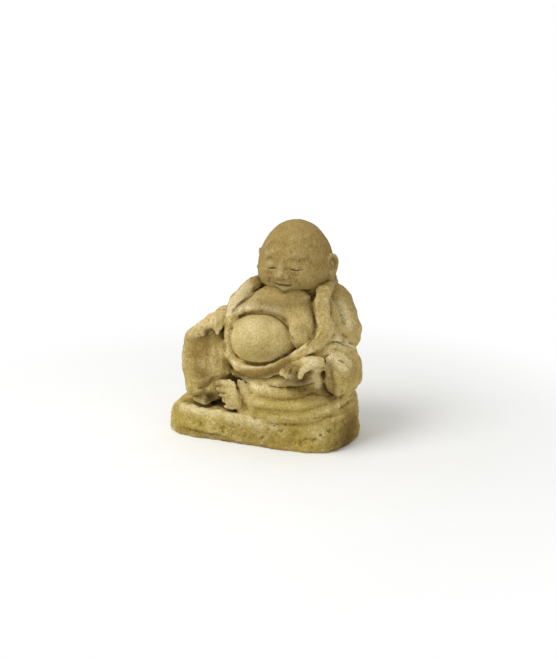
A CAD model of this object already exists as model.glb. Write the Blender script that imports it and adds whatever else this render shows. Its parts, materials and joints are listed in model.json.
"""A weathered cast-stone garden statue on its rough slab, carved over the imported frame."""

import math

import json

import bpy
import numpy as np
import openvdb as vdb
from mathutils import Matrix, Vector

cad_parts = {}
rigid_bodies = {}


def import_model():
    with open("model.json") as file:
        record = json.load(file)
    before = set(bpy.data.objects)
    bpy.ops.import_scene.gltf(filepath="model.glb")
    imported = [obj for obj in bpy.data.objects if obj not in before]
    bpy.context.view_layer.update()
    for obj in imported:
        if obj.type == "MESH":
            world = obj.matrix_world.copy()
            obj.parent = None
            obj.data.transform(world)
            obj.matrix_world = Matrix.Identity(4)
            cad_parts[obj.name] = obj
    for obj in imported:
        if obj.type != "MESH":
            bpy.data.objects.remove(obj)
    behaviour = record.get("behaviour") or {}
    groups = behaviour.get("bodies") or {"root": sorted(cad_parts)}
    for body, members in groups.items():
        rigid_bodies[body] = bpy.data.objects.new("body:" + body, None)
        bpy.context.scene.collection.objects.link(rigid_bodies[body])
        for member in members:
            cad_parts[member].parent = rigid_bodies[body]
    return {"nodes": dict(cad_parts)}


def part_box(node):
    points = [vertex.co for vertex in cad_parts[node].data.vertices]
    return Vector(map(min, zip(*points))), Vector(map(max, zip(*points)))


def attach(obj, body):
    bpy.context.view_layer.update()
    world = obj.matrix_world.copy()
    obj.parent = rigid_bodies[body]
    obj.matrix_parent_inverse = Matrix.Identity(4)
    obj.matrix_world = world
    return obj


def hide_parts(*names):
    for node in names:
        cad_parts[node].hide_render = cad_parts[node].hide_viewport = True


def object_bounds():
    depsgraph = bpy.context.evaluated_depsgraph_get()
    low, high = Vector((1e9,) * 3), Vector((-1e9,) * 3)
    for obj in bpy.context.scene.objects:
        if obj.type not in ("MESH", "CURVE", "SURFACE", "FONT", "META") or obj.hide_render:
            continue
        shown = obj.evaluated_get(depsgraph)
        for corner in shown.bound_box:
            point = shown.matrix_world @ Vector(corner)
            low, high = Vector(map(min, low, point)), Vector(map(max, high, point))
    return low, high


for item in list(bpy.data.objects):
    bpy.data.objects.remove(item)
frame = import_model()
cad_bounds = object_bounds()

# Lengths are in millimetres in the carving, and in metres in Blender's objects.
MM = 0.001
VOXEL = 1.0
MARGIN = 7.0
REACH = 9.0
SEAM_OVERLAP = 1.2
SEAM_SINK = 0.6
NARROW_HOLLOW = 2.5
WIDE_HOLLOW = 6.0

FIGURE = "figure_stone"
ROBE = "robe_stone"
PLINTH = "plinth_stone"

# How far each node's facets are smoothed away, in millimetres, and how many faces its piece may have.
PIECES = {
    "plinth": (1.6, 42000, PLINTH),
    "trunk": (4.0, 24000, ROBE),
    "left_front": (3.5, 9000, ROBE),
    "right_front": (3.5, 7000, ROBE),
    "left_sleeve": (3.5, 16000, ROBE),
    "right_sleeve": (3.5, 10000, ROBE),
    "left_forearm": (2.5, 9000, ROBE),
    "right_forearm": (2.5, 7000, ROBE),
    "left_cuff": (0.8, 7000, ROBE),
    "sleeve_drape": (3.0, 11000, ROBE),
    "left_lapel": (2.0, 17000, ROBE),
    "right_lapel": (2.0, 14000, ROBE),
    "lap_robe": (3.0, 32000, ROBE),
    "right_leg": (3.5, 15000, ROBE),
    "knee_drape": (3.0, 9000, ROBE),
    "waist_band": (2.0, 10000, ROBE),
    "belly": (3.0, 15000, FIGURE),
    "chest": (6.5, 11000, FIGURE),
    "head": (2.6, 34000, FIGURE),
    "left_ear": (1.0, 7000, FIGURE),
    "right_ear": (1.0, 7000, FIGURE),
    "left_hand": (2.2, 14000, FIGURE),
    "right_hand": (3.4, 13000, FIGURE),
    "left_foot": (1.9, 9000, FIGURE),
    "right_foot": (2.4, 4000, FIGURE),
}
# Nodes whose cloth runs on from one to the next, and how far they blend; others meet in a crease.
BLENDS = [
    (("right_leg", "knee_drape", "right_forearm", "right_hand"), 8.0),
    (("lap_robe", "left_hand"), 7.0),
    (("left_forearm", "sleeve_drape", "left_cuff"), 9.0),
    (
        ("trunk", "left_front", "right_front", "left_sleeve", "right_sleeve",
         "left_lapel", "right_lapel"),
        9.0,
    ),
    (("head",), 3.0),
    (("chest", "belly"), 6.0),
]
CREASE_BLEND = 3.4
SLAB_BLEND = 16.0

low = np.array(cad_bounds[0]) / MM - MARGIN
high = np.array(cad_bounds[1]) / MM + MARGIN
shape = tuple(int(n) for n in np.ceil((high - low) / VOXEL) + 1)


# Distance fields of the nodes


def smooth_min(a, b, blend):
    """The nearer of two distances, rounded over where they are alike."""
    near = np.maximum(blend - np.abs(a - b), 0)
    return np.minimum(a, b) - near * near / (4 * blend)


def smooth_max(a, b, blend):
    return -smooth_min(-a, -b, blend)


def box_blur(field, width, axis):
    """A moving mean of an odd number of voxels along one axis."""
    half = width // 2
    pad = [(half + 1, half) if k == axis else (0, 0) for k in range(3)]
    total = np.cumsum(np.pad(field, pad, mode="edge"), axis=axis, dtype=np.float64)
    count = field.shape[axis]
    upper = np.take(total, range(width, width + count), axis=axis)
    lower = np.take(total, range(0, count), axis=axis)
    return ((upper - lower) / width).astype(np.float32)


def blur(field, sigma):
    """Three moving means, close to a Gaussian of that spread in millimetres."""
    spread = sigma / VOXEL
    width = int(2 * round((math.sqrt(4 * spread * spread + 1) - 1) / 2) + 1)
    if width < 3:
        return field
    for _ in range(3):
        for axis in range(3):
            field = box_blur(field, width, axis)
    return field


def node_field(name):
    """A CAD node's distance field on its own part of the grid, and where that part starts."""
    mesh = frame["nodes"][name].data
    mesh.calc_loop_triangles()
    points = np.empty(len(mesh.vertices) * 3, np.float32)
    mesh.vertices.foreach_get("co", points)
    points = points.reshape(-1, 3) / MM - low
    corners = np.empty(len(mesh.loop_triangles) * 3, np.int32)
    mesh.loop_triangles.foreach_get("vertices", corners)
    transform = vdb.createLinearTransform(voxelSize=VOXEL)
    level_set = vdb.FloatGrid.createLevelSetFromPolygons(
        points.astype(np.float32),
        triangles=corners.reshape(-1, 3).astype(np.uint32),
        transform=transform,
        halfWidth=REACH / VOXEL,
    )
    first = np.floor((points.min(0) - REACH) / VOXEL).astype(int)
    last = np.ceil((points.max(0) + REACH) / VOXEL).astype(int) + 1
    first = np.maximum(first, 0)
    last = np.minimum(last, shape)
    field = np.full(tuple(last - first), REACH, np.float32)
    level_set.copyToArray(field, ijk=tuple(int(k) for k in first))
    return field, tuple(int(k) for k in first)


def part_of(first, field):
    return tuple(slice(first[k], first[k] + field.shape[k]) for k in range(3))


nodes = {}
for name, (softness, _, _) in PIECES.items():
    field, first = node_field(name)
    nodes[name] = (blur(field, softness), part_of(first, field))

def joined(names, blend):
    """The named nodes' fields as one, rounded over where they meet."""
    whole = np.full(shape, REACH, np.float32)
    for name in names:
        field, part = nodes[name]
        whole[part] = smooth_min(whole[part], field, blend)
    return whole


nearest = np.full(shape, REACH, np.float32)
second = np.full(shape, REACH, np.float32)
owner = np.full(shape, -1, np.int8)
for index, (field, part) in enumerate(nodes.values()):
    closer = field < nearest[part]
    second[part] = np.where(closer, nearest[part], np.minimum(second[part], field))
    nearest[part] = np.where(closer, field, nearest[part])
    owner[part] = np.where(closer, index, owner[part])

blended = [name for names, _ in BLENDS for name in names]
body = joined([name for name in PIECES if name not in [*blended, "plinth"]], CREASE_BLEND)
for names, blend in BLENDS:
    body = smooth_min(body, joined(names, blend), CREASE_BLEND)
# The robe's lower edge runs down on to the slab at the figure's left, and stands free at its right.
easting = (np.arange(shape[0]) * VOXEL + low[0])[:, None, None]
run = np.clip((easting - 5) / 60, 0, 1)
slab, part = nodes["plinth"]
slab_blend = (CREASE_BLEND + (SLAB_BLEND - CREASE_BLEND) * run * run * (3 - 2 * run)).astype(np.float32)
body[part] = smooth_min(body[part], slab, slab_blend[part[0]])


# Sampling and carving


def sample(field, points):
    """The field's values at points in millimetres, by trilinear interpolation."""
    at = (np.asarray(points, np.float32) - low) / VOXEL
    at = np.clip(at, 0, np.array(field.shape) - 1.001)
    base = at.astype(int)
    part = at - base
    total = 0
    for corner in range(8):
        step = np.array([corner >> 2 & 1, corner >> 1 & 1, corner & 1])
        weight = np.prod(np.where(step, part, 1 - part), axis=-1)
        where = base + step
        total = total + weight * field[where[..., 0], where[..., 1], where[..., 2]]
    return total


AZIMUTH = 26.0
ELEVATION = 15.5
DISTANCE = 1900.0
TARGET = np.array([15.5, 0.0, 176.0])
FOCAL_PIXELS = 1140.0
IMAGE_WIDTH = 556
IMAGE_HEIGHT = 658

turn = math.radians(AZIMUTH)
rise = math.radians(ELEVATION)
view_back = np.array([
    math.sin(turn) * math.cos(rise),
    -math.cos(turn) * math.cos(rise),
    math.sin(rise),
])
view_right = np.array([math.cos(turn), math.sin(turn), 0.0])
view_up = np.cross(view_back, view_right)
eye = TARGET + view_back * DISTANCE


def march(start, direction, longest):
    """The first point of the surface that a ray meets."""
    direction = direction / np.linalg.norm(direction)
    steps = np.arange(0, longest, 0.8)
    points = start + steps[:, None] * direction
    values = sample(body, points)
    hits = np.nonzero(values < 0)[0]
    if not len(hits):
        return None
    at = hits[0]
    if at == 0:
        return points[0]
    share = values[at - 1] / (values[at - 1] - values[at])
    return points[at - 1] + share * (points[at] - points[at - 1])


def pixel(x, y):
    """The point of the surface that the camera sees at that pixel."""
    ray = (
        view_right * (x - IMAGE_WIDTH / 2) / FOCAL_PIXELS
        + view_up * (IMAGE_HEIGHT / 2 - y) / FOCAL_PIXELS
        - view_back
    )
    ray = ray / np.linalg.norm(ray)
    return march(eye + ray * (DISTANCE - 330), ray, 660)


def slope(points):
    """The outward directions of the surface near these points."""
    steps = np.eye(3) * 1.5
    parts = [sample(body, points + step) - sample(body, points - step) for step in steps]
    away = np.stack(parts, axis=-1)
    return away / (np.linalg.norm(away, axis=-1, keepdims=True) + 1e-9)


def settle(points):
    """The points, moved on to the surface."""
    for _ in range(3):
        points = points - slope(points) * np.clip(sample(body, points), -3, 3)[:, None]
    return points


def smooth_path(points, spacing=2.5):
    """A Catmull-Rom curve through the points, as points about that far apart."""
    points = np.asarray(points, float)
    ends = np.vstack([2 * points[0] - points[1], points, 2 * points[-1] - points[-2]])
    curve = []
    for k in range(len(points) - 1):
        a, b, c, d = ends[k : k + 4]
        count = max(1, int(round(np.linalg.norm(c - b) / spacing)))
        t = (np.arange(count) / count)[:, None]
        curve.append(
            0.5 * (2 * b + (c - a) * t + (2 * a - 5 * b + 4 * c - d) * t**2
                   + (3 * b - a - 3 * c + d) * t**3)
        )
    return np.vstack([*curve, points[-1:]])


def box_round(points, reach):
    """The part of the grid round some points, and the places of its voxels."""
    first = np.floor((points.min(0) - reach - low) / VOXEL).astype(int)
    last = np.ceil((points.max(0) + reach - low) / VOXEL).astype(int) + 1
    first = np.clip(first, 0, np.array(shape) - 1)
    last = np.clip(last, first + 1, shape)
    part = tuple(slice(first[k], last[k]) for k in range(3))
    axes = [np.arange(first[k], last[k]) * VOXEL + low[k] for k in range(3)]
    return part, axes


def chain(points, radii, reach):
    """The distance to a chain of round cones through the points, on its part of the grid."""
    part, axes = box_round(points, reach)
    count = [len(axis) for axis in axes]
    field = np.full(count, 4 * reach, np.float32)
    for k in range(max(1, len(points) - 1)):
        a = points[k]
        b = points[min(k + 1, len(points) - 1)]
        pair = np.array([a, b])
        near = []
        for axis in range(3):
            low_end = np.searchsorted(axes[axis], pair[:, axis].min() - reach)
            high_end = np.searchsorted(axes[axis], pair[:, axis].max() + reach)
            near.append(slice(low_end, max(high_end, low_end + 1)))
        x, y, z = (axes[axis][near[axis]] for axis in range(3))
        away = (x[:, None, None] - a[0], y[None, :, None] - a[1], z[None, None, :] - a[2])
        along = b - a
        length = max(along @ along, 1e-9)
        t = np.clip((away[0] * along[0] + away[1] * along[1] + away[2] * along[2]) / length, 0, 1)
        gap = sum((away[axis] - t * along[axis]) ** 2 for axis in range(3))
        size = radii[k] + (radii[min(k + 1, len(points) - 1)] - radii[k]) * t
        sub = tuple(near)
        field[sub] = np.minimum(field[sub], np.sqrt(gap) - size)
    return part, field


def stroke(points, width, height, blend=None, fade=0.3):
    """A ridge, or a groove where height is negative, drawn along points of the surface.

    It is that wide and high in millimetres, and fades out over that share of its ends. With a
    blend it has crisp edges, rounded that far; without one it is a soft fold."""
    points = [point for point in points if point is not None]
    if len(points) < 2:
        return
    path = settle(smooth_path(points))
    share = np.linspace(0, 1, len(path))
    strength = np.clip(np.minimum(share, 1 - share) / fade, 0, 1)
    strength = strength * strength * (3 - 2 * strength)
    if blend is None:
        part, field = chain(path, np.zeros(len(path)), 1.4 * width)
        _, faded = chain(path, (1 - strength) * 0.6 * width, 1.4 * width)
        faded = np.maximum(2 * field - faded, field)
        body[part] -= height * np.exp(-((faded / (0.5 * width)) ** 2))
        return
    rise = abs(height)
    half = width / 2
    radius = (half * half + rise * rise) / (2 * rise)
    side = math.copysign(1.0, height)
    centres = path - slope(path) * side * (radius - rise * strength)[:, None]
    part, field = chain(centres, np.full(len(path), radius), radius + blend + 2)
    if height > 0:
        body[part] = smooth_min(body[part], field, blend)
    else:
        body[part] = smooth_max(body[part], -field, blend)


def mound(centre, size, height):
    """A soft swelling, or a hollow where height is negative, on the surface."""
    centre = settle(np.array([centre]))
    part, field = chain(centre, [0.0], min(2.2 * size, 60))
    body[part] -= height * np.exp(-((field / size) ** 2))


def along_pixels(*places):
    return [pixel(x, y) for x, y in places]


def on_node(name, *places, side=(0, -1, 0)):
    """Points of the surface over a node's box, by shares of the box, seen from that side."""
    corner, far = (np.array(c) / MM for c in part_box(name))
    toward = np.array(side, float)
    toward = toward / np.linalg.norm(toward)
    found = []
    for u, v in places:
        if abs(toward[2]) > 0.7:
            start = np.array([
                corner[0] + u * (far[0] - corner[0]),
                corner[1] + v * (far[1] - corner[1]),
                (corner[2] + far[2]) / 2,
            ])
        else:
            across = np.array([-toward[1], toward[0], 0.0])
            middle = (corner + far) / 2
            span = abs(across[0]) * (far[0] - corner[0]) + abs(across[1]) * (far[1] - corner[1])
            start = middle + across * (u - 0.5) * span
            start[2] = corner[2] + v * (far[2] - corner[2])
        found.append(march(start + toward * 220, -toward, 440))
    return found


# The robe

LEFT = (1, 0, 0)
RIGHT = (-1, 0, 0)
BACK = (0, 1, 0)

# Swags that hang across the lap
stroke(along_pixels((258, 396), (276, 399), (298, 398), (318, 391)), 8, -2.0, fade=0.45)
stroke(along_pixels((243, 381), (252, 387), (264, 392), (278, 394)), 9, 1.8, fade=0.4)
stroke(along_pixels((252, 401), (272, 405), (294, 405), (314, 401), (328, 394)), 8, 1.9, fade=0.45)
stroke(along_pixels((256, 408), (280, 411), (304, 411), (326, 404)), 7, -1.9, fade=0.45)
stroke(along_pixels((262, 415), (288, 418), (312, 416), (332, 408)), 8, 1.8, fade=0.45)
stroke(along_pixels((268, 423), (292, 425), (314, 423), (330, 416)), 7, -1.6, fade=0.45)
# The hem lies on the slab beside the folded foot
stroke(along_pixels((234, 411), (246, 415), (260, 419), (274, 422)), 8, 2.2)
# The waist's lower roll runs on into the lap
stroke(along_pixels((236, 380), (250, 385), (266, 389), (284, 388)), 10, 3.0)
# The fall of cloth beside the left sleeve
stroke(along_pixels((329, 362), (331, 374), (334, 386), (331, 400)), 6, -2.6)
stroke(along_pixels((340, 384), (342, 396), (338, 410)), 6, -1.4)
# The left sleeve's crook and the soft folds above and below it
stroke(along_pixels((324, 345), (335, 342), (345, 345), (357, 353)), 3.5, -1.8, blend=1.2)
stroke(along_pixels((327, 349), (337, 350), (348, 355), (357, 364)), 3, -1.4, blend=1.2)
stroke(along_pixels((326, 347), (337, 346), (350, 351)), 5, 1.6)
stroke(along_pixels((331, 354), (341, 356), (352, 364)), 6, 1.4)
stroke(along_pixels((334, 359), (344, 363), (353, 373)), 4.5, -1.4)
stroke(along_pixels((334, 368), (341, 374), (347, 383)), 5, -1.3)
stroke(along_pixels((334, 300), (341, 314), (347, 330)), 9, -0.8)
stroke(along_pixels((341, 298), (348, 312), (353, 328)), 8, 1.0)
stroke(along_pixels((333, 318), (340, 330), (350, 340)), 9, -0.8)
# The slab is worn to a ledge along the foot of its front
stroke(along_pixels((176, 425), (192, 430), (214, 435), (240, 440)), 5, -1.5)
stroke(along_pixels((238, 440), (262, 446), (290, 450), (318, 452)), 5, -1.2)
# The robe's edge has a shallow line inside either border
stroke(along_pixels((323, 296), (325, 310), (325, 324), (320, 336), (309, 347), (296, 354)), 3, -0.9)
# Foot of the right leg: the robe's hem over the shin, and the folds that hang from the knee
stroke(along_pixels((184, 384), (194, 388), (205, 387), (213, 380), (222, 374)), 6, -2.4)
stroke(along_pixels((187, 378), (196, 381), (205, 380), (213, 374)), 6, 1.3)
stroke(along_pixels((191, 342), (195, 358), (196, 374)), 8, -1.3)
stroke(along_pixels((203, 340), (208, 356), (206, 372)), 8, -1.3)
stroke(along_pixels((215, 344), (219, 358), (215, 370)), 8, -1.2)
stroke(along_pixels((186, 391), (197, 394), (207, 393)), 6, -1.4)
# The knee is square at the top and full beside the hem
mound(pixel(188, 335), 11, 5.0)
mound(pixel(188, 388), 8, 4.0)
# Under the belly
stroke(along_pixels((238, 363), (252, 364), (266, 364), (280, 360)), 4, -1.2)
mound(pixel(250, 338), 5.0, -1.6)
mound(pixel(252, 337), 16, -0.8)

# The chest runs on into the robe beside the belly
CHEST_EDGE = ((247, 300, 4.0), (243, 305, 5.0), (239, 309, 5.5), (235, 314, 4.5), (231, 321, 3.0))
for x, y, height in CHEST_EDGE:
    mound(pixel(x, y), 7.5, height)
stroke(along_pixels((236, 315), (241, 312), (246, 310), (252, 309)), 9, 4.5, fade=0.2)
# The chin rests on a soft roll of the neck
stroke(along_pixels((256, 296), (270, 301), (286, 303), (302, 301), (314, 294)), 13, 2.6)
# The borders of the robe run on into the cloth beside them
stroke(along_pixels((331, 299), (334, 316), (330, 334), (320, 346), (308, 354)), 11, 2.6)
# Thin lines where the lapel, the chest and the belly meet
stroke(along_pixels((254, 288), (253, 294), (246, 299), (239, 304), (232, 311)), 4, -2.0)
stroke(along_pixels((237, 317), (246, 315), (258, 314), (270, 315), (280, 320), (288, 328), (294, 339)), 3.5, -1.1)
# The right knee's cloth runs on into the robe beside the belly
stroke(along_pixels((227, 345), (228, 358), (229, 370), (231, 381)), 11, 3.6)
stroke(along_pixels((314, 318), (317, 326), (315, 335), (308, 344)), 4, -1.6)

# Back: broad folds that spread from the shoulders to the slab, and swags that hang between them
for foot_u, top_u, depth in (
    (0.13, 0.30, 2.8), (0.30, 0.40, 2.0), (0.47, 0.49, 2.9), (0.65, 0.58, 2.1), (0.84, 0.68, 2.7),
):
    bend = 0.035 * math.sin(11 * foot_u)
    middle_u = 0.5 * (foot_u + top_u) + bend
    pleat = on_node("trunk", (foot_u, 0.03), (middle_u, 0.32), (top_u - bend, 0.56), side=BACK)
    stroke(pleat, 17, -depth, fade=0.6)
    ridge = on_node("trunk", (foot_u + 0.08, 0.05), (middle_u + 0.06, 0.3), (top_u + 0.05, 0.48), side=BACK)
    stroke(ridge, 15, 0.8 * depth, fade=0.6)
for v, drop, height in ((0.86, 0.05, -1.6), (0.79, 0.09, 1.8), (0.70, 0.11, -2.2), (0.62, 0.10, 1.7)):
    stroke(on_node("trunk", (0.12, v), (0.5, v - drop), (0.88, v), side=BACK), 15, height, fade=0.5)
# Sleeves from the sides
for name, side in (("left_sleeve", LEFT), ("right_sleeve", RIGHT)):
    for v_front, v_back, depth in ((0.72, 0.84, 1.4), (0.5, 0.66, 1.8), (0.3, 0.46, 1.5), (0.14, 0.26, 1.2)):
        u_front, u_back = (0.2, 0.85) if side == LEFT else (0.8, 0.15)
        path = on_node(name, (u_front, v_front), (0.5, v_front - 0.05), (u_back, v_back), side=side)
        stroke(path, 9, -depth, fade=0.35)
for u, depth in ((0.2, 1.6), (0.4, 2.0), (0.6, 1.5), (0.8, 1.8)):
    path = on_node("sleeve_drape", (0.5 + 0.4 * (u - 0.5), 0.85), (u, 0.5), (u + 0.04, 0.12), side=LEFT)
    stroke(path, 9, -0.6 * depth, fade=0.35)
for v in (0.3, 0.52):
    path = on_node("lap_robe", (0.12, v), (0.4, v - 0.06), (0.7, v), (0.95, v + 0.05), side=LEFT)
    stroke(path, 9, -1.6)
# Right thigh and shin from the figure's right
for u, v_low, v_high in ((0.25, 0.1, 0.6), (0.5, 0.08, 0.62), (0.75, 0.12, 0.75)):
    path = on_node("right_leg", (u, v_low), (u + 0.04, (v_low + v_high) / 2), (u, v_high), side=RIGHT)
    stroke(path, 10, -1.7, fade=0.4)

# Hands and feet

# Toes stacked on the folded foot
TOE_LINES = (385, 393, 400, 405)
for y in TOE_LINES:
    stroke(along_pixels((215, y), (222, y + 0.5), (229, y)), 3, -1.2, blend=1.0)
# The right hand lies worn and smooth on the knee
mound(pixel(211, 331), 6, 3.5)
mound(pixel(214, 327), 6, 2.0)
RIGHT_KNUCKLES = ((202, 322), (208, 321), (214, 320))
for x, y in RIGHT_KNUCKLES:
    stroke(along_pixels((x + 1, y - 4), (x, y + 3), (x - 1, y + 9)), 3.5, -1.3)
# The left hand's back, and its fingers that hang over the waist
mound(pixel(312, 364), 9, 2.0)
stroke(along_pixels((284, 380), (296, 384), (308, 382), (320, 376)), 12, 3.0)
LEFT_FINGERTIPS = ((283.5, 374), (290, 377), (297, 376))
for x, y in LEFT_FINGERTIPS:
    mound(pixel(x, y), 4.5, 2.6)
# The lap swells up under the wrist, beside the sleeve
WRIST_SWELL = ((317, 373, 4.0), (320, 381, 4.0), (318, 389, 2.0))
for x, y, height in WRIST_SWELL:
    mound(pixel(x, y), 8, height)
# The sleeve's lower end runs on into the lap
stroke(along_pixels((330, 396), (336, 398), (342, 399), (349, 398)), 11, 3.0)
mound(pixel(353, 388), 10, -3.0)
LEFT_FINGER_LINES = (((290, 365), (283.5, 375)), ((294, 366), (289.5, 378)), ((300, 366), (296, 378)))
for knuckle, tip in LEFT_FINGER_LINES:
    middle = ((knuckle[0] + tip[0]) / 2 - 0.3, (knuckle[1] + tip[1]) / 2)
    stroke(along_pixels(knuckle, middle, tip), 3, -1.3, blend=0.9)
stroke(along_pixels((236, 379), (238, 390), (240, 404)), 5, -1.8)

# The head

HEAD_TURN = math.radians(3.0)
HEAD_HEIGHT = 132.0
head_low, head_high = (np.array(corner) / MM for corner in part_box("head"))
head_middle = np.array([
    (head_low[0] + head_high[0]) / 2,
    head_high[1] - (head_high[0] - head_low[0]) / 2,
    head_high[2] - HEAD_HEIGHT / 2,
])
head_ahead = np.array([math.sin(HEAD_TURN), -math.cos(HEAD_TURN), 0.0])
head_across = np.array([math.cos(HEAD_TURN), math.sin(HEAD_TURN), 0.0])


def on_face(*places):
    """Points of the face by millimetres to the figure's left of its middle line and up."""
    found = []
    for x, z in places:
        start = head_middle + head_across * x + np.array([0, 0, z])
        found.append(march(start + head_ahead * 150, -head_ahead, 300))
    return found


def mirrored(side, *places):
    return on_face(*[(side * x, z) for x, z in places])


mound(on_face((0, -52))[0], 13, 2.6)
for side in (-1, 1):
    # Brow, closed lid, the crease over it, the lash line and the hollow under it
    stroke(mirrored(side, (8, 15), (22, 20), (38, 15)), 12, 1.6, fade=0.4)
    stroke(mirrored(side, (8, 9), (20, 12), (36, 9)), 8, -1.2, fade=0.4)
    stroke(mirrored(side, (10, 1.5), (22, 3), (35, 1.5)), 11, 2.6, fade=0.4)
    stroke(mirrored(side, (9, -1.5), (15, -4), (23, -5.2), (31, -4), (37, -1)), 3, -2.0, blend=0.9)
    stroke(mirrored(side, (12, -10), (23, -12.5), (33, -9)), 7, -0.9, fade=0.4)
    mound(mirrored(side, (34, -20))[0], 16, 2.6)
stroke(on_face((0, 12), (0, 2), (0, -10)), 13, 2.8, fade=0.25)
mound(on_face((0, -13.5))[0], 7.0, 3.0)
for side in (-1, 1):
    # Wing of the nose, nostril and the folds beside the mouth
    mound(mirrored(side, (8.5, -16))[0], 4.6, 2.4)
    mound(mirrored(side, (4.2, -20))[0], 2.2, -1.4)
    stroke(mirrored(side, (12.5, -11), (14.5, -17), (11, -21)), 3, -1.0, blend=1.0)
    stroke(mirrored(side, (17, -17), (25, -26), (28, -36)), 8, -1.5, fade=0.4)
stroke(on_face((0, -22), (0, -26)), 4, -0.9)
stroke(on_face((-16, -28), (-6, -26.5), (0, -27.8), (6, -26.5), (16, -28)), 5, 1.8)
stroke(on_face((-13, -35), (0, -37), (13, -35)), 8, 2.6, fade=0.35)
stroke(on_face((-20, -29), (-9, -31.6), (0, -31), (9, -31.6), (20, -29)), 3, -2.2, blend=0.9)
stroke(on_face((-10, -43), (0, -44), (10, -43)), 7, -1.5, fade=0.4)
for name, side, flip in (("left_ear", LEFT, False), ("right_ear", RIGHT, True)):
    inner = [(0.50, 0.80), (0.66, 0.68), (0.66, 0.50), (0.52, 0.36)]
    bowl = [(0.36, 0.56), (0.44, 0.46), (0.42, 0.36)]
    for path, width, depth in ((inner, 4.5, 2.2), (bowl, 6.0, 2.6)):
        places = [(1 - u, v) if flip else (u, v) for u, v in path]
        stroke(on_node(name, *places, side=side), width, -depth, blend=1.2, fade=0.25)

# Weathering


def lattice_noise(points, size, seed):
    """Smooth noise of -1 to 1 that varies over about that many millimetres."""
    values = np.random.default_rng(seed).uniform(-1, 1, (64, 64, 64)).astype(np.float32)
    at = points / size + 1000
    base = np.floor(at).astype(int)
    part = at - base
    part = part * part * (3 - 2 * part)
    total = 0
    for corner in range(8):
        step = (corner >> 2 & 1, corner >> 1 & 1, corner & 1)
        weight = 1
        where = []
        for axis in range(3):
            share = part[:, axis]
            weight = weight * (share if step[axis] else 1 - share)
            where.append((base[:, axis] + step[axis]) % 64)
        total = total + weight * values[tuple(where)]
    return total


band = np.nonzero(np.abs(body) < 4)
places = np.stack([band[k] * VOXEL + low[k] for k in range(3)], axis=1).astype(np.float32)
index = {name: k for k, name in enumerate(PIECES)}
kind = owner[band]
on_slab = kind == index["plinth"]
skinned = np.isin(kind, [index[name] for name in ("head", "left_ear", "right_ear", "belly", "chest")])
rough = np.where(on_slab, 2.6, np.where(skinned, 0.6, 1.35)).astype(np.float32)
wear = (
    0.5 * lattice_noise(places, 17, 1)
    + 0.4 * lattice_noise(places, 8, 2)
    + 0.26 * lattice_noise(places, 4, 3)
)
wear = wear + 0.13 * lattice_noise(places, 2.2, 4)
pocks = np.maximum(lattice_noise(places, 5.5, 5) - 0.62, 0) * 0.9
body[band] += rough * (wear + np.where(skinned, 0.35, 1.0) * pocks)
del band, places, kind, on_slab, skinned, rough, wear, pocks


# Pieces


# The slab's underside stays flat on the ground
buried_layers = int(round(-low[2] / VOXEL)) + 1
buried = body[:, :, :buried_layers]
body[:, :, :buried_layers] = np.maximum(buried, -(np.arange(buried_layers) * VOXEL + low[2]))

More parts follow.
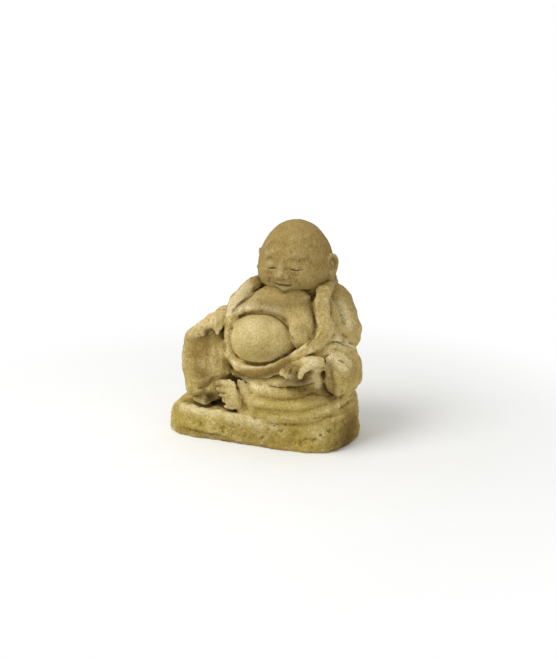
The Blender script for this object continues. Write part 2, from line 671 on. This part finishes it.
# Weathering placed by hand: its size in millimetres, its strength and the pixels that it runs through
STAINS = {
    "stain": [
        (17, 0.65, (262, 301), (285, 302), (306, 302)),
        (20, 0.45, (302, 328)), (24, 0.5, (262, 352)), (14, 0.3, (250, 346)),
        (30, 0.85, (200, 350)), (20, 0.85, (202, 374)), (10, 0.6, (206, 332)),
        (8, 0.5, (217, 340)), (10, 1.1, (286, 365), (296, 369)),
        (12, 0.8, (287, 370), (296, 374), (304, 379)), (11, 0.55, (286, 383), (298, 384)),
        (9, 1.1, (227, 362), (235, 371), (248, 374), (262, 373), (275, 369), (288, 361)),
        (11, 1.0, (210, 396)), (7, 0.7, (238, 384), (240, 396), (244, 408)),
        (14, 0.5, (222, 395)), (6, 0.6, (218, 382), (220, 390)), (8, 0.8, (196, 398), (207, 400)),
        (28, 1.15, (334, 452), (346, 436), (351, 424)), (13, 0.9, (348, 416)),
        (8, 0.7, (329, 364), (333, 386), (331, 400)),
        (6, 0.4, (332, 300), (334, 318), (328, 335), (316, 349)), (10, 0.45, (310, 334)),
        (9, 0.5, (290, 311), (299, 316)),
        (14, 0.3, (354, 372)), (22, 0.38, (240, 434), (285, 442)), (9, 0.4, (226, 396)),
        (6, 0.7, (178, 428), (205, 435), (240, 443), (285, 452)),
        (4, 0.6, (258, 396), (276, 399), (298, 398), (318, 391)),
        (4, 0.6, (256, 408), (280, 411), (304, 411), (326, 404)),
        (4, 0.5, (268, 423), (292, 425), (314, 423), (330, 416)),
    ],
    "shadow": [
        (7, 0.7, (292, 379), (300, 381), (305, 380)),
        (8, 0.9, (210, 396)), (6, 0.6, (204, 390)), (6, 0.6, (207, 331)),
        (24, 0.5, (336, 450), (348, 438)), (6, 0.4, (198, 399), (207, 400)),
        (2.6, 0.8, (254, 288), (252, 296), (240, 304), (233, 311)),
        (2.4, 0.7, (240, 316), (256, 314), (270, 315), (285, 325), (293, 338)),
        (3, 0.7, (314, 318), (317, 326), (314, 336), (308, 344)),
        (11, 0.15, (270, 305), (298, 306)), (4, 0.5, (230, 376), (245, 379), (262, 376), (283, 366)),
        (4, 0.5, (183, 384), (200, 387), (212, 380)), (4, 0.6, (212, 403), (232, 410)),
    ],
    "pale": [
        (11, 1.0, (314, 362)), (7, 0.8, (306, 359)), (7, 0.7, (324, 366)),
        (22, 0.5, (270, 404), (308, 404)), (22, 0.6, (252, 324)), (12, 0.4, (275, 325)), (9, 0.5, (233, 334)),
        (9, 1.6, (184, 405), (203, 410), (222, 414), (240, 419), (258, 423)), (9, 0.7, (274, 425)),
        (16, 0.7, (318, 436)), (9, 0.5, (213, 318)), (7, 1.0, (244, 381), (256, 386), (270, 390)),
        (8, 0.8, (276, 385)), (6, 0.7, (249, 400)), (4, 0.6, (254, 402), (272, 405), (294, 405), (314, 401)),
        (3, 1.1, (230, 360), (237, 365), (246, 367), (262, 367), (276, 365)),
        (8, 1.0, (238, 309), (248, 308), (262, 309), (276, 310)), (9, 0.8, (340, 304)),
        (8, 0.8, (338, 340), (350, 345)), (11, 0.8, (332, 357), (346, 366)), (9, 0.8, (316, 371), (317, 386)),
        (9, 2.2, (247, 288), (240, 294), (233, 302), (228, 310)), (14, 0.8, (341, 308), (347, 322)),
    ],
    "moss": [
        (9, 0.9, (190, 402)), (10, 0.9, (176, 408), (178, 424)), (12, 0.8, (182, 426)),
        (12, 0.7, (246, 356)), (4, 0.9, (244, 313), (262, 311)), (6, 0.6, (257, 378)),
        (16, 0.7, (270, 403), (306, 402)), (10, 0.8, (270, 410), (310, 409)), (26, 0.5, (305, 436)),
        (12, 0.6, (262, 414)), (8, 0.6, (192, 366)), (12, 0.5, (347, 398)),
        (16, 0.5, (226, 424)), (18, 0.5, (276, 448)), (4, 0.5, (252, 290)),
    ],
    "warm": [
        (4, 0.8, (239, 365)), (5, 1.0, (219, 385)), (5, 0.8, (224, 405)),
        (9, 0.4, (300, 396)), (7, 0.7, (209, 319)), (8, 0.3, (356, 357)),
    ],
}
FACE_SHADE = (100.0, 1.0)


def painted_paths():
    """The points that each kind of weathering lies round, with its sizes and strengths."""
    paths = {}
    for label, entries in STAINS.items():
        paths[label] = []
        for size, strength, *corners in entries:
            points = [point for point in along_pixels(*corners) if point is not None]
            if points:
                path = smooth_path(points, size / 2) if len(points) > 1 else np.array(points)
                paths[label].append((path, size, strength))
    size, strength = FACE_SHADE
    paths["stain"].append((head_middle[None], size, strength))
    return paths


stain_paths = painted_paths()


def painted(label, places):
    """How much of one kind of weathering lies on each place."""
    total = np.zeros(len(places), np.float32)
    for path, size, strength in stain_paths[label]:
        away = np.full(len(places), 1e9, np.float32)
        for point in path:
            away = np.minimum(away, ((places - point.astype(np.float32)) ** 2).sum(1))
        total = np.maximum(total, strength * np.exp(-away / (size * size)))
    return total


hollows = blur(body, NARROW_HOLLOW) - body
half_body = np.ascontiguousarray(body[::2, ::2, ::2])
recesses = blur(half_body, WIDE_HOLLOW / 2) - half_body


def sample_half(field, points):
    return sample(field, (np.asarray(points) - low) / 2 + low)


def largest_island(points, faces):
    """The connected part of a mesh that has the most points, without the crumbs beside it."""
    label = np.arange(len(points))
    ends = np.concatenate([faces[:, [k, k - 1]] for k in range(faces.shape[1])])
    while True:
        least = np.minimum(label[ends[:, 0]], label[ends[:, 1]])
        joined_label = label.copy()
        for side in (0, 1):
            np.minimum.at(joined_label, label[ends[:, side]], least)
        joined_label = joined_label[joined_label]
        if np.array_equal(joined_label, label):
            break
        label = joined_label
    kept = label == np.bincount(label).argmax()
    place = np.cumsum(kept) - 1
    return points[kept], place[faces[kept[faces[:, 0]]]]


def mesh_of(name, points, faces):
    """A mesh from arrays of points in metres and of faces that all have as many corners."""
    mesh = bpy.data.meshes.new(name)
    corners = faces.shape[1]
    mesh.vertices.add(len(points))
    mesh.vertices.foreach_set("co", points.astype(np.float32).ravel())
    mesh.loops.add(faces.size)
    mesh.loops.foreach_set("vertex_index", faces.astype(np.int32).ravel())
    mesh.polygons.add(len(faces))
    mesh.polygons.foreach_set("loop_start", np.arange(0, faces.size, corners, dtype=np.int32))
    mesh.update(calc_edges=True)
    return mesh


def thinned(mesh, budget):
    """The mesh as about that many triangles at most: their points in metres and their corners."""
    holder = bpy.data.objects.new(mesh.name, mesh)
    bpy.context.scene.collection.objects.link(holder)
    thin = holder.modifiers.new("thin", "DECIMATE")
    thin.ratio = min(1.0, budget / (2 * len(mesh.polygons)))
    ready = holder.evaluated_get(bpy.context.evaluated_depsgraph_get())
    result = bpy.data.meshes.new_from_object(ready)
    result.calc_loop_triangles()
    points = np.empty(len(result.vertices) * 3, np.float32)
    result.vertices.foreach_get("co", points)
    corners = np.empty(len(result.loop_triangles) * 3, np.int32)
    result.loop_triangles.foreach_get("vertices", corners)
    bpy.data.objects.remove(holder)
    return points.reshape(-1, 3), corners.reshape(-1, 3)


def make_piece(name, index):
    """The closed solid of one node's share of the carved body, which stands for that node."""
    field, part = nodes[name]
    _, budget, slot = PIECES[name]
    other = np.where(owner[part] == index, second[part], nearest[part])
    rim = 0.5 * (field - other)
    inside = np.maximum(
        body[part] + SEAM_SINK * np.maximum(rim + 0.2, 0),
        rim - SEAM_OVERLAP,
    )
    grid = vdb.FloatGrid(REACH)
    grid.transform = vdb.createLinearTransform(voxelSize=VOXEL)
    grid.copyFromArray(np.ascontiguousarray(inside))
    points, quads = grid.convertToQuads(0.0)
    start = np.array([part[k].start for k in range(3)]) * VOXEL
    points = (points + start + low) * MM
    points, triangles = thinned(mesh_of(name, *largest_island(points, quads.astype(int))), budget)
    points, triangles = largest_island(points, triangles)
    mesh = mesh_of(name, points, triangles)
    mesh.polygons.foreach_set("use_smooth", np.ones(len(triangles), bool))
    piece = bpy.data.objects.new(name + "_stone", mesh)
    bpy.context.scene.collection.objects.link(piece)
    places = points / MM
    for label, values in (
        ("hollow", -sample(hollows, places) / NARROW_HOLLOW),
        ("recess", -sample_half(recesses, places) / WIDE_HOLLOW),
        *((label, painted(label, places)) for label in STAINS),
    ):
        layer = mesh.attributes.new(label, "FLOAT", "POINT")
        layer.data.foreach_set("value", values.astype(np.float32))
    mesh.materials.append(materials[slot])
    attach(piece, "root")
    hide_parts(name)
    return piece


# Stone


def linear(red, green, blue):
    """A display colour of 0 to 255 as Blender's linear one."""
    values = []
    for value in (red, green, blue):
        share = value / 255
        values.append(share / 12.92 if share <= 0.04045 else ((share + 0.055) / 1.055) ** 2.4)
    return (*values, 1.0)


class Nodes:
    """Short calls for wiring one material."""

    def __init__(self, name):
        self.material = bpy.data.materials.new(name)
        self.material.use_nodes = True
        self.tree = self.material.node_tree
        self.shader = self.tree.nodes["Principled BSDF"]
        place = self.tree.nodes.new("ShaderNodeTexCoord")
        self.place = place.outputs["Object"]

    def wire(self, value, socket):
        if isinstance(value, bpy.types.NodeSocket):
            self.tree.links.new(value, socket)
        else:
            socket.default_value = value

    def math(self, kind, a, b=0.0, clamp=False):
        node = self.tree.nodes.new("ShaderNodeMath")
        node.operation = kind
        node.use_clamp = clamp
        self.wire(a, node.inputs[0])
        self.wire(b, node.inputs[1])
        return node.outputs[0]

    def attribute(self, name):
        node = self.tree.nodes.new("ShaderNodeAttribute")
        node.attribute_name = name
        return node.outputs["Fac"]

    def height(self):
        node = self.tree.nodes.new("ShaderNodeSeparateXYZ")
        self.wire(self.place, node.inputs[0])
        return node.outputs["Z"]

    def noise(self, size, detail=3.0, rough=0.55, stretch=(1, 1, 1), shift=0.0):
        """Cloudy noise of 0 to 1 with features of about that size in millimetres."""
        mapping = self.tree.nodes.new("ShaderNodeMapping")
        mapping.inputs["Location"].default_value = (shift, shift * 0.7, -shift)
        mapping.inputs["Scale"].default_value = stretch
        self.wire(self.place, mapping.inputs["Vector"])
        node = self.tree.nodes.new("ShaderNodeTexNoise")
        node.inputs["Scale"].default_value = 1 / (size * MM)
        node.inputs["Detail"].default_value = detail
        node.inputs["Roughness"].default_value = rough
        self.wire(mapping.outputs[0], node.inputs["Vector"])
        return node.outputs["Fac"]

    def cells(self, size):
        node = self.tree.nodes.new("ShaderNodeTexVoronoi")
        node.inputs["Scale"].default_value = 1 / (size * MM)
        self.wire(self.place, node.inputs["Vector"])
        return node.outputs["Distance"]

    def ramp(self, value, low_end, high_end):
        """0 below the low end and 1 above the high end, smoothly."""
        node = self.tree.nodes.new("ShaderNodeMapRange")
        node.interpolation_type = "SMOOTHSTEP"
        self.wire(value, node.inputs["Value"])
        node.inputs["From Min"].default_value = low_end
        node.inputs["From Max"].default_value = high_end
        return node.outputs["Result"]

    def mix(self, share, a, b, kind="MIX"):
        node = self.tree.nodes.new("ShaderNodeMix")
        node.data_type = "RGBA"
        node.blend_type = kind
        self.wire(share, node.inputs[0])
        self.wire(a, node.inputs[6])
        self.wire(b, node.inputs[7])
        return node.outputs[2]


def stone(name, pale, middle, moss_share, moss_top, dirt_share):
    """Sandy cast stone with grain, worn tops, brown hollows, low moss and a few warm spots."""
    n = Nodes(name)
    blotch = n.noise(26, 4, 0.6)
    patch = n.noise(9, 4, 0.62, shift=0.3)
    grain = n.ramp(n.noise(2.4, 2, 0.75, shift=0.7), 0.32, 0.68)
    fine = n.ramp(n.noise(1.1, 1, 0.6, shift=1.1), 0.3, 0.7)
    cloud = n.math("ADD", n.math("MULTIPLY", blotch, 0.6), n.math("MULTIPLY", patch, 0.4))
    colour = n.mix(n.ramp(cloud, 0.36, 0.64), middle, pale)
    hollow = n.attribute("hollow")
    recess = n.attribute("recess")
    ragged = n.math("ADD", 0.35, n.math("MULTIPLY", patch, 1.3))

    def spread(label, most):
        return n.math("MINIMUM", n.math("MULTIPLY", n.attribute(label), ragged), most)

    worn = n.math("MULTIPLY", n.ramp(n.math("MULTIPLY", hollow, -1.0), 0.02, 0.22), 0.5)
    worn = n.math("MAXIMUM", worn, spread("pale", 0.95))
    colour = n.mix(worn, colour, WORN)
    speck = n.math("MULTIPLY", n.ramp(n.noise(7, 3, 0.7, shift=2.3), 0.62, 0.72), 0.4)
    colour = n.mix(n.math("MAXIMUM", speck, spread("warm", 0.8)), colour, WARM_SPOT)
    height = n.height()
    low_down = n.math("SUBTRACT", 1.0, n.ramp(height, 0.0, moss_top * MM))
    damp = n.ramp(n.noise(34, 4, 0.62, shift=4.1), 0.34, 0.66)
    moss = n.math("MULTIPLY", n.math("MULTIPLY", low_down, damp), moss_share)
    moss = n.math("ADD", moss, n.math("MULTIPLY", n.ramp(recess, 0.0, 0.25), 0.25 * moss_share))
    moss = n.math("ADD", moss, spread("moss", 0.9))
    colour = n.mix(n.math("MINIMUM", moss, 0.8), colour, MOSS)
    dirt = n.math("MULTIPLY", n.ramp(recess, 0.02, 0.3), 0.45 * dirt_share)
    dirt = n.math("MAXIMUM", dirt, spread("stain", 0.85))
    colour = n.mix(dirt, colour, DIRT)
    colour = n.mix(spread("shadow", 0.85), colour, CREASE)
    crease = n.math("MULTIPLY", n.ramp(hollow, 0.05, 0.36), 0.62 * dirt_share)
    crease = n.math("MULTIPLY", crease, n.math("ADD", 0.55, n.math("MULTIPLY", blotch, 0.9)))
    colour = n.mix(crease, colour, CREASE)
    shade = n.math("ADD", 0.64, n.math("MULTIPLY", grain, 0.44))
    shade = n.math("ADD", shade, n.math("MULTIPLY", fine, 0.28))
    grey = n.tree.nodes.new("ShaderNodeCombineColor")
    for socket in grey.inputs[:3]:
        n.wire(shade, socket)
    colour = n.mix(1.0, colour, grey.outputs[0], "MULTIPLY")
    n.wire(colour, n.shader.inputs["Base Color"])
    rough = n.math("ADD", 0.8, n.math("MULTIPLY", patch, 0.18), clamp=True)
    n.wire(rough, n.shader.inputs["Roughness"])
    n.shader.inputs["Specular IOR Level"].default_value = 0.25
    pits = n.ramp(n.cells(3.2), 0.0, 0.35)
    relief = n.math("ADD", n.math("MULTIPLY", grain, 0.6), n.math("MULTIPLY", pits, 0.25))
    relief = n.math("ADD", relief, n.math("MULTIPLY", fine, 0.25))
    bump = n.tree.nodes.new("ShaderNodeBump")
    bump.inputs["Strength"].default_value = 0.55
    bump.inputs["Distance"].default_value = 0.8 * MM
    n.wire(relief, bump.inputs["Height"])
    n.wire(bump.outputs[0], n.shader.inputs["Normal"])
    return n.material


WORN = linear(230, 213, 166)
WARM_SPOT = linear(196, 150, 104)
MOSS = linear(168, 146, 66)
DIRT = linear(124, 97, 40)
CREASE = linear(78, 57, 22)
materials = {
    FIGURE: stone(FIGURE, linear(208, 187, 126), linear(184, 163, 102), 0.6, 160, 1.0),
    ROBE: stone(ROBE, linear(198, 176, 112), linear(173, 150, 87), 0.8, 190, 1.0),
    PLINTH: stone(PLINTH, linear(198, 178, 111), linear(180, 158, 91), 1.0, 90, 1.0),
}

pieces = {name: make_piece(name, index) for index, name in enumerate(PIECES)}


# Camera, light and floor


def look_at(item, place, target):
    item.location = place
    item.rotation_euler = (target - place).to_track_quat("-Z", "Y").to_euler()
    bpy.context.scene.collection.objects.link(item)


SENSOR = 36.0
camera = bpy.data.cameras.new("camera")
camera.sensor_width = SENSOR
camera.lens = SENSOR * FOCAL_PIXELS / IMAGE_HEIGHT
camera.clip_start = 0.05
camera.clip_end = 50
middle = Vector(TARGET * MM)
camera_object = bpy.data.objects.new("camera", camera)
look_at(camera_object, Vector(eye * MM), middle)
bpy.context.scene.camera = camera_object

# Each lamp's name, place, power in watts and size
LAMPS = (
    ("key", (-0.6, -1.0, 1.8), 25, 1.1),
    ("fill", (1.6, -1.0, 0.8), 2, 1.6),
)
for label, place, power, size in LAMPS:
    lamp = bpy.data.lights.new(label, "AREA")
    lamp.energy = power
    lamp.size = size
    look_at(bpy.data.objects.new(label, lamp), Vector(place), middle)

SKY_LIGHT = (0.62, 0.62, 0.61, 1)
BACKDROP = (1, 1, 1, 1)
world = bpy.data.worlds.new("world")
bpy.context.scene.world = world
world.use_nodes = True
sky = world.node_tree.nodes["Background"]
paths = world.node_tree.nodes.new("ShaderNodeLightPath")
mixer = world.node_tree.nodes.new("ShaderNodeMix")
mixer.data_type = "RGBA"
mixer.inputs[6].default_value = SKY_LIGHT
mixer.inputs[7].default_value = BACKDROP
world.node_tree.links.new(paths.outputs["Is Camera Ray"], mixer.inputs[0])
world.node_tree.links.new(mixer.outputs[2], sky.inputs[0])

FLOOR_HALF = 3.0
FLOOR_TONES = ((0.91, 0.91, 0.90, 1), (0.94, 0.94, 0.93, 1))
SHADE_REACH = (0.28, 0.75)
floor_mesh = bpy.data.meshes.new("floor")
floor_mesh.from_pydata(
    [(x * FLOOR_HALF, y * FLOOR_HALF, 0) for x, y in ((-1, -1), (1, -1), (1, 1), (-1, 1))],
    [],
    [(0, 1, 2, 3)],
)
floor = bpy.data.objects.new("floor", floor_mesh)
bpy.context.scene.collection.objects.link(floor)
ground = Nodes("floor")
tone = ground.mix(ground.noise(80, 2), *FLOOR_TONES)
ground.wire(tone, ground.shader.inputs["Base Color"])
ground.shader.inputs["Roughness"].default_value = 0.95
# The floor turns plain white away from the statue, as a studio sweep does.
length = ground.tree.nodes.new("ShaderNodeVectorMath")
length.operation = "LENGTH"
ground.wire(ground.place, length.inputs[0])
glow = ground.tree.nodes.new("ShaderNodeEmission")
joiner = ground.tree.nodes.new("ShaderNodeMixShader")
ground.wire(ground.ramp(length.outputs["Value"], *SHADE_REACH), joiner.inputs[0])
ground.tree.links.new(ground.shader.outputs[0], joiner.inputs[1])
ground.tree.links.new(glow.outputs[0], joiner.inputs[2])
ground.tree.links.new(joiner.outputs[0], ground.tree.nodes["Material Output"].inputs[0])
floor_mesh.materials.append(ground.material)
bpy.context.scene.view_settings.view_transform = "Standard"
